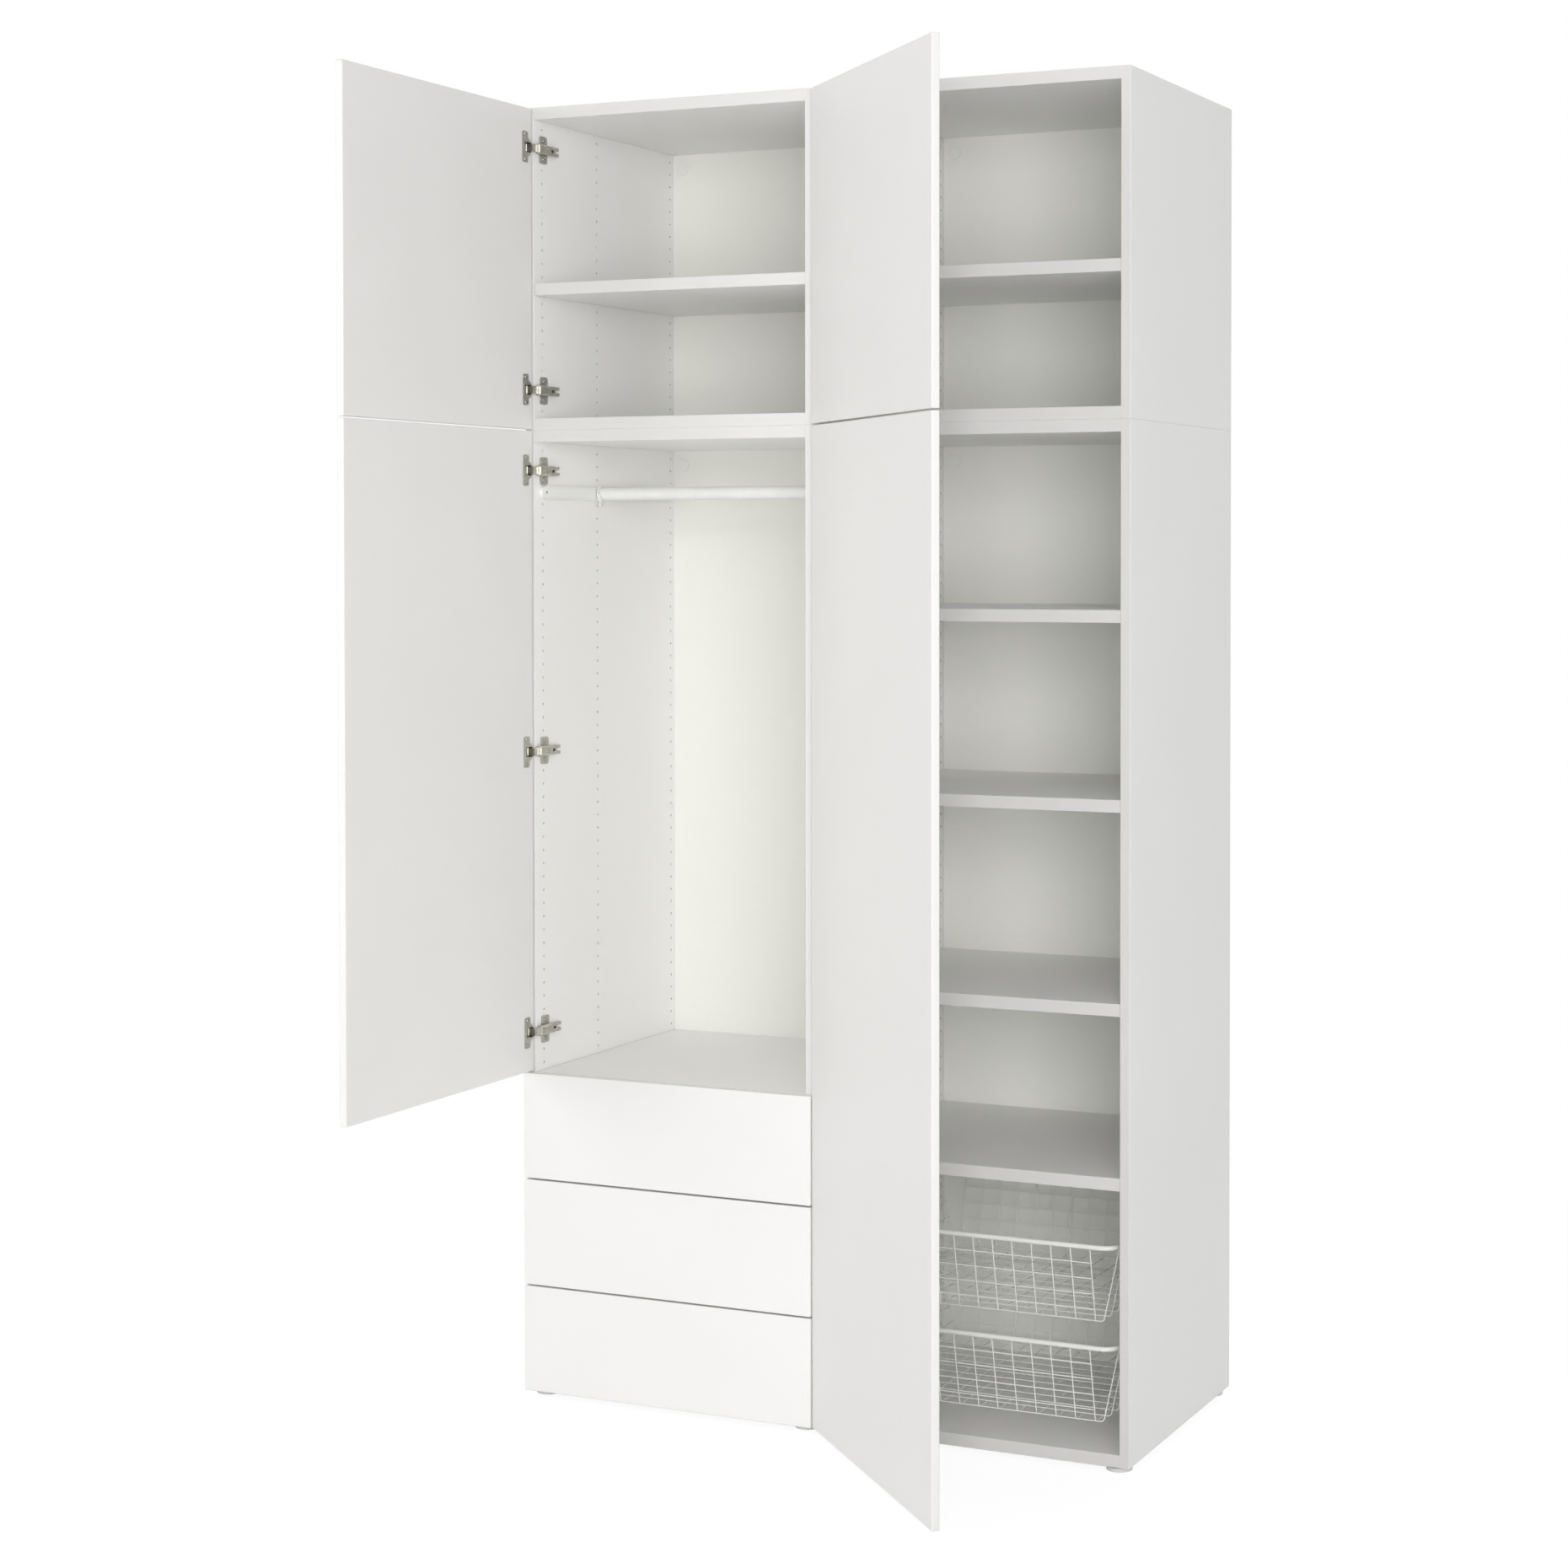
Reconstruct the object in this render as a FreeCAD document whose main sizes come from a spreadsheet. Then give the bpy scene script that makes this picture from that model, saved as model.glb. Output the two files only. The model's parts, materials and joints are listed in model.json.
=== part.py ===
"""Four-door wardrobe: two columns of stacked board frames with doors, drawers and wire baskets.

Millimetres, +Z up. The origin is on the floor, at mid width, in the plane of the closed fronts'
outer faces; the fronts look along -Y. The doors stand open as they do at rest.
"""
import FreeCAD, Part
import os
import re
from types import SimpleNamespace

from FreeCAD import Placement, Rotation, Vector

# Driving dimensions, in the order that the object is put together.
SIZES = {
    # carcass
    "column_width": 600.0,
    "carcass_depth": 550.0,
    "lower_height": 1800.0,
    "upper_height": 600.0,
    "side_thickness": 18.0,
    "board_thickness": 22.0,
    "back_thickness": 3.0,
    "back_inset": 10.0,
    "groove_depth": 6.0,
    "groove_play": 0.2,
    "board_edge_radius": 1.0,
    # rows of shelf-pin holes in the sides
    "pin_row_front": 30.0,
    "pin_row_middle": 230.0,
    "pin_row_rear": 28.0,
    "pin_hole_first": 37.5,
    "pin_hole_pitch": 25.0,
    "pin_hole_radius": 2.5,
    "pin_hole_depth": 12.0,
    "pin_play": 0.1,
    "pin_reach": 9.0,
    # dowels in the corners and sleeve bolts between frames
    "dowel_radius": 4.0,
    "dowel_in_side": 12.0,
    "dowel_in_board": 20.0,
    "dowel_inset": 60.0,
    "dowel_play": 0.1,
    "bolt_radius": 3.0,
    "bolt_play": 0.3,
    "bolt_head_radius": 7.0,
    "bolt_head": 2.0,
    "bolt_setback": 130.0,
    "bolt_end": 150.0,
    "bolt_side_inset": 80.0,
    # feet
    "foot_height": 10.0,
    "foot_radius": 23.0,
    "foot_disc": 7.0,
    "foot_neck_radius": 11.0,
    "foot_stem_radius": 4.0,
    "foot_stem": 16.0,
    "foot_play": 0.2,
    "foot_inset": 28.0,
    # wall-fixing holes in the backs and their caps
    "cap_radius": 13.5,
    "cap_thickness": 2.0,
    "cap_stem_radius": 4.0,
    "cap_play": 0.2,
    "cap_side_inset": 22.0,
    "cap_drop": 50.0,
    # fronts
    "front_gap": 2.0,
    "front_thickness": 14.0,
    "front_reveal": 1.5,
    "front_edge_radius": 2.0,
    "left_door_angle": 90.0,
    "right_door_angle": 45.0,
    # concealed hinges: pin, cup in the door, arm and plate on the side
    "hinge_end": 75.0,
    "hinge_pin_radius": 1.25,
    "hinge_pin_edge": 6.5,
    "hinge_pin_depth": 7.5,
    "hinge_pin_fit": 0.05,
    "hinge_pin_grip": 0.02,
    "hinge_eye_radius": 2.6,
    "hinge_eye_play": 0.3,
    "cup_wall": 1.0,
    "cup_play": 0.2,
    "cup_half_height": 10.5,
    "cup_length": 19.0,
    "cup_flange": 0.8,
    "cup_flange_reach": 26.0,
    "cup_flange_width": 20.0,
    "cup_flange_half_height": 29.0,
    "cup_flange_corner": 4.0,
    "cup_screw_spread": 23.5,
    "cup_bulge_radius": 17.5,
    "cup_bulge_middle": 10.5,
    "link_width": 14.0,
    "link_thickness": 3.0,
    "plate_thickness": 3.0,
    "plate_width": 14.0,
    "ear_thickness": 2.0,
    "ear_width": 26.0,
    "ear_corner_radius": 5.0,
    "ear_half_height": 25.5,
    "ear_setback": 32.5,
    "arm_setback": 6.0,
    "arm_length": 33.0,
    "arm_height": 8.0,
    "arm_width": 19.0,
    "arm_chamfer": 3.5,
    "tail_length": 37.0,
    "tail_height": 6.0,
    "tail_width": 17.0,
    "tail_slot_width": 5.0,
    "tail_slot_length": 8.0,
    "tail_slot_gap": 6.0,
    "tail_notch_length": 12.0,
    "screw_radius": 1.75,
    "screw_play": 0.1,
    "screw_head_radius": 3.6,
    "screw_head": 1.6,
    "screw_length": 11.0,
    "cup_screw_length": 8.0,
    "screw_spread": 17.0,
    # shelves, by the pin hole that each hangs on
    "shelf_setback": 1.5,
    "shelf_play": 0.5,
    "upper_shelf_hole": 9,
    "deck_hole": 22,
    "shelf_one_hole": 18,
    "shelf_two_hole": 30,
    "shelf_three_hole": 44,
    "shelf_four_hole": 57,
    # drawers
    "drawer_pitch": 200.0,
    "drawer_side_thickness": 12.0,
    "drawer_side_height": 140.0,
    "drawer_side_rise": 30.0,
    "drawer_depth": 480.0,
    "drawer_bottom_thickness": 4.0,
    "drawer_bottom_rise": 10.0,
    "drawer_groove_depth": 5.0,
    "drawer_side_gap": 13.0,
    # drawer runners
    "runner_sheet": 1.2,
    "runner_height": 30.0,
    "runner_width": 10.0,
    "runner_play": 0.4,
    "runner_setback": 8.0,
    "runner_length": 500.0,
    "runner_rise": 35.0,
    # wire baskets and their runners
    "basket_width": 540.0,
    "basket_depth": 500.0,
    "basket_setback": 14.0,
    "basket_corner_radius": 30.0,
    "rim_radius": 4.5,
    "basket_height": 142.0,
    "basket_taper": 29.5,
    "wire": 2.2,
    "wire_play": 0.05,
    "basket_wire_pitch": 36.7,
    "basket_row_pitch": 29.0,
    "basket_row_first": 26.0,
    "basket_front_wires": 13,
    "basket_side_wires": 13,
    "basket_rows": 4,
    "lower_basket_rim": 201.0,
    "basket_spacing": 175.0,
    "track_sheet": 1.2,
    "track_play": 0.4,
    "track_grip": 4.0,
    "track_setback": 46.0,
    "track_length": 460.0,
    # clothes rail
    "rail_radius": 12.5,
    "rail_wall": 1.2,
    "rail_drop": 115.0,
    "rail_setback": 230.0,
    "rail_play": 0.3,
    "strip_height": 24.0,
    "strip_thickness": 8.0,
    "strip_setback": 17.0,
    "strip_length": 505.0,
    "strip_lip": 2.5,
    "strip_recess": 1.5,
    "hook_sheet": 3.0,
    "hook_width": 7.0,
    "hook_lip": 6.0,
    "hook_tab": 20.5,
    "hook_tab_width": 10.0,
    "hook_hole_radius": 1.75,
}

SIDE_NAMES = ("left", "right")
DRAWER_NAMES = ("bottom", "middle", "top")
BASKET_NAMES = ("lower", "upper")

doc = FreeCAD.newDocument("wardrobe")
sheet = doc.addObject("Spreadsheet::Sheet", "sheet")
for row, (alias, number) in enumerate(SIZES.items(), start=1):
    sheet.set(f"A{row}", alias)
    sheet.set(f"B{row}", str(number))
    sheet.setAlias(f"B{row}", alias)
doc.recompute()
v = SimpleNamespace(**{alias: float(sheet.get(alias)) for alias in SIZES})

# Sums that several pieces share, as sheet expressions and as numbers.
INNER_WIDTH = "(column_width - 2 * side_thickness)"
FRONT_REACH = "(front_gap + front_thickness)"
BACK_FACE = "(carcass_depth - back_inset - back_thickness)"
inner_width = v.column_width - 2 * v.side_thickness
front_reach = v.front_gap + v.front_thickness
back_face = v.carcass_depth - v.back_inset - v.back_thickness
drawer_stack = len(DRAWER_NAMES) * v.drawer_pitch
DRAWER_STACK = f"({len(DRAWER_NAMES)} * drawer_pitch)"
DRAWER_WIDTH = f"({INNER_WIDTH} - 2 * drawer_side_gap)"

COLUMN_X = {"left": "(-column_width)", "right": "0"}
column_x = {"left": -v.column_width, "right": 0.0}
LEVEL_Z = {"lower": "foot_height", "upper": "(foot_height + lower_height)"}
level_z = {"lower": v.foot_height, "upper": v.foot_height + v.lower_height}
level_height = {"lower": v.lower_height, "upper": v.upper_height}
DOOR_ANGLE = {"left": "left_door_angle", "right": "right_door_angle"}
door_angle = {"left": v.left_door_angle, "right": v.right_door_angle}
FRAMES = [(level, column) for level in LEVEL_Z for column in SIDE_NAMES]

# Doors and hinges: heights above the bottom of the frame, places seen from the hinge pins' axis.
HINGE_COUNT = {("lower", "left"): 3, ("lower", "right"): 4, ("upper", "left"): 2, ("upper", "right"): 2}
DOOR_BASE = {frame: DRAWER_STACK if frame == ("lower", "left") else "0" for frame in FRAMES}
door_base = {frame: drawer_stack if frame == ("lower", "left") else 0.0 for frame in FRAMES}
HINGE_Z = {
    (level, column): [
        f"({DOOR_BASE[level, column]} + hinge_end"
        f" + {i} * ({level}_height - {DOOR_BASE[level, column]} - 2 * hinge_end) / {count - 1})"
        for i in range(count)
    ]
    for (level, column), count in HINGE_COUNT.items()
}
hinge_z = {
    frame: [
        door_base[frame] + v.hinge_end
        + i * (level_height[frame[0]] - door_base[frame] - 2 * v.hinge_end) / (count - 1)
        for i in range(count)
    ]
    for frame, count in HINGE_COUNT.items()
}
CUP_HEEL = "(hinge_eye_radius + hinge_eye_play + cup_wall)"
CUP_DEPTH = f"(hinge_pin_depth + {CUP_HEEL})"
CUP_SCREW_X = "(cup_flange_reach - cup_flange_width / 2)"
SIDE_FACE = "(side_thickness - front_reveal - hinge_pin_edge)"
CARCASS_FRONT = "(front_gap + hinge_pin_depth)"

# Sleeve bolts and feet: places in a side, an end board and a column.
BOLT_Z = {
    "lower": ("bolt_end", "lower_height / 2", "lower_height - bolt_end"),
    "upper": ("bolt_end", "upper_height - bolt_end"),
}
bolt_z = {
    "lower": (v.bolt_end, v.lower_height / 2, v.lower_height - v.bolt_end),
    "upper": (v.bolt_end, v.upper_height - v.bolt_end),
}
BOARD_BOLTS = [
    (x, y)
    for x in ("bolt_side_inset", f"{INNER_WIDTH} - bolt_side_inset")
    for y in ("bolt_setback", "carcass_depth - bolt_setback")
]
FOOT_PLACES = [
    (x, y)
    for x in ("foot_inset", "column_width - foot_inset")
    for y in ("foot_inset", "carcass_depth - foot_inset")
]

# Each shelf with its frame and the size that names its pin hole, counted from the lowest.
SHELVES = [
    ("upper_left_shelf", "upper", "left", "upper_shelf_hole"),
    ("upper_right_shelf", "upper", "right", "upper_shelf_hole"),
    ("drawer_deck", "lower", "left", "deck_hole"),
    ("lower_right_shelf_one", "lower", "right", "shelf_one_hole"),
    ("lower_right_shelf_two", "lower", "right", "shelf_two_hole"),
    ("lower_right_shelf_three", "lower", "right", "shelf_three_hole"),
    ("lower_right_shelf_four", "lower", "right", "shelf_four_hole"),
]

ALONG_X = Rotation(Vector(0, 1, 0), 90)
ALONG_Y = Rotation(Vector(1, 0, 0), -90)
ALONG_Z = Rotation()

# Two coordinates closer than this are the same.
SAME = 1e-6

nodes = []


def bound(text):
    """A sheet expression, with every size's alias led by the sheet's name."""
    return re.sub(r"[a-z_]+", lambda word: f"sheet.{word[0]}" if word[0] in SIZES else word[0], str(text))


def bind(obj, **properties):
    for name, text in properties.items():
        obj.setExpression(name, bound(text))


def locate(obj, position, rotation=ALONG_Z):
    """Places an object, its position bound to the sheet axis by axis."""
    obj.Placement = Placement(Vector(), rotation)
    for axis, text in zip("xyz", position):
        obj.setExpression(f"Placement.Base.{axis}", bound(text))


def new_body(name, position=("0", "0", "0")):
    body = doc.addObject("PartDesign::Body", name)
    body.Label = name
    locate(body, position)
    return body


def keep(obj, name):
    """Marks an object as a sub-part whose shape is written under its own name."""
    obj.Label = name
    nodes.append(obj)
    return obj


def block(body, position, size, cut=False):
    """A rectangular block added to a body, or cut from it."""
    kind = "PartDesign::SubtractiveBox" if cut else "PartDesign::AdditiveBox"
    feature = body.newObject(kind, body.Name + "_block")
    bind(feature, Length=size[0], Width=size[1], Height=size[2])
    locate(feature, position)
    return feature


def round_bar(body, position, axis, radius, length, cut=False):
    """A cylinder added to a body, or a round hole cut in it."""
    kind = "PartDesign::SubtractiveCylinder" if cut else "PartDesign::AdditiveCylinder"
    feature = body.newObject(kind, body.Name + "_round")
    bind(feature, Radius=radius, Height=length)
    locate(feature, position, axis)
    return feature


def repeat(body, features, role, length, count):
    """A row of equal features along one of the body's own axes."""
    doc.recompute()
    axis = next(item for item in body.Origin.OriginFeatures if item.Role == role)
    pattern = body.newObject("PartDesign::LinearPattern", body.Name + "_row")
    pattern.Originals = features
    pattern.Direction = (axis, [""])
    bind(pattern, Length=length, Occurrences=count)
    body.Tip = pattern
    return pattern


def round_edges(body, base, radius, wanted=lambda edge: True):
    """A fillet along the base feature's wanted edges."""
    doc.recompute()
    names = [f"Edge{i}" for i, edge in enumerate(base.Shape.Edges, start=1) if wanted(edge)]
    fillet = body.newObject("PartDesign::Fillet", body.Name + "_fillet")
    fillet.Base = (base, names)
    bind(fillet, Radius=radius)
    body.Tip = fillet
    return fillet


def copies(template, places):
    """One compound of a template's shape at each place."""
    solids = []
    for place in places:
        solid = template.Shape.copy()
        solid.Placement = place.multiply(template.Shape.Placement)
        solids.append(solid)
    return Part.makeCompound(solids)


def group(name, shapes):
    """A sub-part of several separate solids."""
    feature = doc.addObject("Part::Feature", name)
    feature.Shape = Part.makeCompound([solid for shape in shapes for solid in shape.Solids])
    return keep(feature, name)


def side_panel(level, column, hand):
    """A frame's side, with the back's groove, shelf-pin rows, dowel, bolt and hinge-screw holes."""
    name = f"{level}_{column}_frame_{hand}_side"
    x = COLUMN_X[column] if hand == "left" else f"{COLUMN_X[column]} + column_width - side_thickness"
    body = new_body(name, (x, FRONT_REACH, LEVEL_Z[level]))
    height = f"{level}_height"
    panel = block(body, ("0", "0", "0"), ("side_thickness", "carcass_depth", height))
    round_edges(body, panel, "board_edge_radius")

    def from_inner_face(depth):
        return f"side_thickness - {depth}" if hand == "left" else "0"

    groove_y = f"{BACK_FACE} - groove_play"
    groove_width = "back_thickness + 2 * groove_play"
    groove_size = ("groove_depth", groove_width, height)
    block(body, (from_inner_face("groove_depth"), groove_y, "0"), groove_size, cut=True)
    for y in ("dowel_inset", "carcass_depth / 2", "carcass_depth - dowel_inset"):
        for z in ("board_thickness / 2", f"{height} - board_thickness / 2"):
            place = (from_inner_face("dowel_in_side"), y, z)
            round_bar(body, place, ALONG_X, "dowel_radius + dowel_play", "dowel_in_side", cut=True)
    if hand != column:
        for y in ("bolt_setback", "carcass_depth - bolt_setback"):
            for z in BOLT_Z[level]:
                round_bar(body, ("0", y, z), ALONG_X, "bolt_radius + bolt_play", "side_thickness", cut=True)
                round_bar(body, (from_inner_face("bolt_head"), y, z), ALONG_X,
                          "bolt_head_radius + bolt_play", "bolt_head", cut=True)
    if hand == "left":
        for z in HINGE_Z[level, column]:
            for spread in ("-screw_spread", "+screw_spread"):
                place = (from_inner_face("screw_length"), "ear_setback", f"{z} {spread}")
                round_bar(body, place, ALONG_X, "screw_radius + screw_play", "screw_length", cut=True)
    rows = ("pin_row_front", "pin_row_middle", "carcass_depth - pin_row_rear")
    holes = [
        round_bar(body, (from_inner_face("pin_hole_depth"), y, "pin_hole_first"), ALONG_X,
                  "pin_hole_radius", "pin_hole_depth", cut=True)
        for y in rows
    ]
    steps = f"floor(({height} - 2 * pin_hole_first) / pin_hole_pitch)"
    repeat(body, holes, "Z_Axis", f"{steps} * pin_hole_pitch", f"{steps} + 1")
    return keep(body, name)


def end_board(level, column, end):
    """A frame's top or bottom, dowelled between its sides."""
    name = f"{level}_{column}_frame_{end}"
    rise = "0" if end == "bottom" else f"{level}_height - board_thickness"
    x = f"{COLUMN_X[column]} + side_thickness"
    body = new_body(name, (x, FRONT_REACH, f"{LEVEL_Z[level]} + {rise}"))
    board = block(body, ("0", "0", "0"), (INNER_WIDTH, "carcass_depth", "board_thickness"))
    round_edges(body, board, "board_edge_radius")
    groove_z = "board_thickness - groove_depth" if end == "bottom" else "0"
    groove_size = (INNER_WIDTH, "back_thickness + 2 * groove_play", "groove_depth")
    block(body, ("0", f"{BACK_FACE} - groove_play", groove_z), groove_size, cut=True)
    for y in ("dowel_inset", "carcass_depth / 2", "carcass_depth - dowel_inset"):
        for x in ("0", f"{INNER_WIDTH} - dowel_in_board"):
            round_bar(body, (x, y, "board_thickness / 2"), ALONG_X, "dowel_radius + dowel_play",
                      "dowel_in_board", cut=True)
    if (level, end) in (("lower", "top"), ("upper", "bottom")):
        head_z = "0" if end == "top" else "board_thickness - bolt_head"
        for x, y in BOARD_BOLTS:
            round_bar(body, (x, y, "0"), ALONG_Z, "bolt_radius + bolt_play", "board_thickness", cut=True)
            round_bar(body, (x, y, head_z), ALONG_Z, "bolt_head_radius + bolt_play", "bolt_head", cut=True)
    if (level, end) == ("lower", "bottom"):
        for x, y in FOOT_PLACES:
            round_bar(body, (f"{x} - side_thickness", y, "0"), ALONG_Z, "foot_stem_radius + foot_play",
                      "foot_stem + foot_play", cut=True)
    return keep(body, name)


def back_panel(level, column):
    """A thin back, held in the grooves of its frame, with two wall-fixing holes."""
    name = f"{level}_{column}_frame_back"
    slack = "(groove_depth - groove_play)"
    x = f"{COLUMN_X[column]} + side_thickness - {slack}"
    z = f"{LEVEL_Z[level]} + board_thickness - {slack}"
    body = new_body(name, (x, f"{FRONT_REACH} + {BACK_FACE}", z))
    width = f"{INNER_WIDTH} + 2 * {slack}"
    height = f"{level}_height - 2 * board_thickness + 2 * {slack}"
    block(body, ("0", "0", "0"), (width, "back_thickness", height))
    hole_z = f"{level}_height - cap_drop - board_thickness + {slack}"
    for hole_x in (f"{slack} + cap_side_inset", f"{width} - {slack} - cap_side_inset"):
        round_bar(body, (hole_x, "0", hole_z), ALONG_Y, "cap_stem_radius + cap_play", "back_thickness",
                  cut=True)
    return keep(body, name)


def door(level, column):
    """A door built about its hinge pins' axis, closed, and then swung to its rest angle."""
    name = f"{level}_{column}_door"
    bottom = f"{DOOR_BASE[level, column]} + front_reveal"
    hinge_x = f"{COLUMN_X[column]} + front_reveal + hinge_pin_edge"
    body = new_body(name, (hinge_x, "front_thickness - hinge_pin_depth", f"{LEVEL_Z[level]} + {bottom}"))
    body.setExpression("Placement.Rotation.Angle", bound(f"-{DOOR_ANGLE[column]}"))
    height = f"{level}_height - front_reveal - ({bottom})"
    size = ("column_width - 2 * front_reveal", "front_thickness", height)
    board = block(body, ("-hinge_pin_edge", "hinge_pin_depth - front_thickness", "0"), size)
    round_edges(body, board, "front_edge_radius")
    pocket_y = f"hinge_pin_depth - {CUP_DEPTH} - cup_play"
    pocket_half = "(cup_half_height + cup_play)"
    for z in HINGE_Z[level, column]:
        mid = f"{z} - ({bottom})"
        pocket_length = f"{CUP_HEEL} + cup_length + 2 * cup_play"
        block(body, (f"-{CUP_HEEL} - cup_play", pocket_y, f"{mid} - {pocket_half}"),
              (pocket_length, f"{CUP_DEPTH} + cup_play", f"2 * {pocket_half}"), cut=True)
        for spread in ("-cup_screw_spread", "+cup_screw_spread"):
            place = (CUP_SCREW_X, "hinge_pin_depth - cup_screw_length", f"{mid} {spread}")
            round_bar(body, place, ALONG_Y, "screw_radius + screw_play", "cup_screw_length", cut=True)
    return keep(body, name)


def hinge_cup():
    """The cup with its flange, seen from its pin: the door's inner face lies at hinge_pin_depth."""
    body = new_body("cup_pattern")
    floor_y = f"hinge_pin_depth - {CUP_DEPTH}"
    flange_x = "cup_flange_reach - cup_flange_width"
    flange = block(body, (flange_x, "hinge_pin_depth", "-cup_flange_half_height"),
                   ("cup_flange_width", "cup_flange", "2 * cup_flange_half_height"))
    round_edges(body, flange, "cup_flange_corner", lambda edge: edge.BoundBox.YLength > v.cup_flange / 2)
    round_bar(body, ("cup_bulge_middle", "hinge_pin_depth", "0"), ALONG_Y, "cup_bulge_radius", "cup_flange")
    for x in ("cup_flange_reach", f"-{CUP_HEEL} - cup_bulge_radius"):
        block(body, (x, "hinge_pin_depth", "-cup_bulge_radius"),
              ("cup_bulge_radius", "cup_flange", "2 * cup_bulge_radius"), cut=True)
    block(body, (f"-{CUP_HEEL}", floor_y, "-cup_half_height"),
          (f"{CUP_HEEL} + cup_length", CUP_DEPTH, "2 * cup_half_height"))
    recess_half = "(cup_half_height - cup_wall)"
    recess_length = f"{CUP_HEEL} + cup_length - 2 * cup_wall"
    recess_depth = f"{CUP_DEPTH} - cup_wall + cup_flange"
    block(body, (f"cup_wall - {CUP_HEEL}", f"{floor_y} + cup_wall", f"-{recess_half}"),
          (recess_length, recess_depth, f"2 * {recess_half}"), cut=True)
    round_bar(body, ("0", "0", "-cup_half_height"), ALONG_Z, "hinge_pin_radius + hinge_pin_fit",
              "2 * cup_half_height", cut=True)
    for z in ("-cup_screw_spread", "cup_screw_spread"):
        round_bar(body, (CUP_SCREW_X, "hinge_pin_depth", z), ALONG_Y, "screw_radius + screw_play",
                  "cup_flange", cut=True)
    return body


def hinge_arm():
    """The fixed arm: an eye on the pin, a bent link round the side's front edge, a body and a tail."""
    body = new_body("arm_pattern")
    link_z = "-link_width / 2"
    arm_y = f"{CARCASS_FRONT} + arm_setback"
    tail_y = f"{arm_y} + arm_length"
    seat_x = f"{SIDE_FACE} + plate_thickness"
    main = block(body, (seat_x, arm_y, "-arm_width / 2"), ("arm_height", "arm_length", "arm_width"))
    doc.recompute()
    crest = main.Shape.BoundBox.XMax
    lengthwise = [
        f"Edge{i}" for i, edge in enumerate(main.Shape.Edges, start=1)
        if abs(edge.BoundBox.XMin - crest) < SAME and edge.BoundBox.YLength > v.arm_length / 2
    ]
    chamfer = body.newObject("PartDesign::Chamfer", "arm_chamfer_feature")
    chamfer.Base = (main, lengthwise)
    bind(chamfer, Size="arm_chamfer")
    body.Tip = chamfer
    round_bar(body, ("0", "0", link_z), ALONG_Z, "hinge_eye_radius", "link_width")
    block(body, ("0", "-link_thickness / 2", link_z),
          (f"{seat_x} + link_thickness", "link_thickness", "link_width"))
    block(body, (seat_x, "-link_thickness / 2", link_z),
          ("link_thickness", f"{arm_y} + link_thickness", "link_width"))
    block(body, (seat_x, tail_y, "-tail_width / 2"), ("tail_height", "tail_length", "tail_width"))
    slot_z = "-tail_slot_width / 2"
    notch_y = f"{tail_y} + tail_length - tail_notch_length"
    block(body, (seat_x, f"{notch_y} - tail_slot_gap - tail_slot_length", slot_z),
          ("tail_height", "tail_slot_length", "tail_slot_width"), cut=True)
    block(body, (seat_x, notch_y, slot_z), ("tail_height", "tail_notch_length", "tail_slot_width"), cut=True)
    round_bar(body, ("0", "0", link_z), ALONG_Z, "hinge_pin_radius + hinge_pin_grip", "link_width", cut=True)
    return body


def hinge_plate():
    """The cross-shaped mounting plate between an arm and the side, with an ear each way for a screw."""
    body = new_body("plate_pattern")
    ear_y = f"{CARCASS_FRONT} + ear_setback"
    ears = block(body, (SIDE_FACE, f"{ear_y} - ear_width / 2", "-ear_half_height"),
                 ("ear_thickness", "ear_width", "2 * ear_half_height"))
    round_edges(body, ears, "ear_corner_radius", lambda edge: edge.BoundBox.XLength > v.ear_thickness / 2)
    plate_length = "arm_length + tail_length - tail_notch_length"
    block(body, (SIDE_FACE, f"{CARCASS_FRONT} + arm_setback", "-plate_width / 2"),
          ("plate_thickness", plate_length, "plate_width"))
    for z in ("-screw_spread", "screw_spread"):
        round_bar(body, (SIDE_FACE, ear_y, z), ALONG_X, "screw_radius + screw_play", "plate_thickness",
                  cut=True)
    return body


def screw(name, length):
    """A pan-head screw along -Z, its head's seat at the origin."""
    body = new_body(name)
    round_bar(body, ("0", "0", f"-({length})"), ALONG_Z, "screw_radius", length)
    head = round_bar(body, ("0", "0", "0"), ALONG_Z, "screw_head_radius", "screw_head")
    crown = v.screw_head
    round_edges(body, head, "screw_head / 2", lambda edge: abs(edge.BoundBox.ZMin - crown) < SAME)
    return body


def hinge_places(columns=SIDE_NAMES, levels=("lower", "upper")):
    """The middles of the hinge pins of some columns and levels."""
    places = []
    for level in levels:
        for column in columns:
            x = column_x[column] + v.front_reveal + v.hinge_pin_edge
            y = v.front_thickness - v.hinge_pin_depth
            for z in hinge_z[level, column]:
                places.append(Placement(Vector(x, y, level_z[level] + z), ALONG_Z))
    return places


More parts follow.
